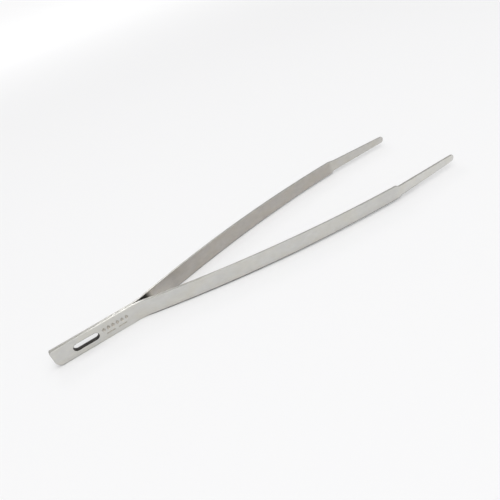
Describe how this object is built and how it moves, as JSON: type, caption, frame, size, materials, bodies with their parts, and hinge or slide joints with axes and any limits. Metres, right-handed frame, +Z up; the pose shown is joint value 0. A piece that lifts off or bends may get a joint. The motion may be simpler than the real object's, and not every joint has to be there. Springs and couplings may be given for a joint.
{
  "type": "stamp tongs",
  "caption": "Long spring-steel stamp tongs: bowed leaves joined at a flat slotted handle, ending in narrow round-ended blade tips.",
  "frame": {"origin": "centre of the footprint, on the surface that the lower long edges of the leaves rest on", "axes": "+X from the handle end to the tips, +Y across the opening from the near leaf to the far leaf, +Z up across the width of the leaves"},
  "size_m": [0.15, 0.037, 0.0063],
  "materials": {
    "satin_steel": "satin stainless steel with a fine lengthwise grain and burnished edges",
    "braze": "ground-flush silver braze in the handle seam"
  },
  "bodies": {
    "handle": {"near_leaf_handle": "satin_steel", "far_leaf_handle": "satin_steel", "handle_braze": "braze"},
    "near_arm": {"near_leaf_arm": "satin_steel"},
    "far_arm": {"far_leaf_arm": "satin_steel"}
  },
  "joints": [
    {"name": "near_arm_flex", "type": "hinge", "parent": "handle", "child": "near_arm", "pos_m": [-0.04323, -0.00129, 0.00315], "axis": [0, 0, 1], "range_deg": [0, 8.48], "stiffness_Nm_per_rad": 0.55},
    {"name": "far_arm_flex", "type": "hinge", "parent": "handle", "child": "far_arm", "pos_m": [-0.04323, 0.00129, 0.00315], "axis": [0, 0, -1], "range_deg": [0, 8.48], "stiffness_Nm_per_rad": 0.55}
  ]
}
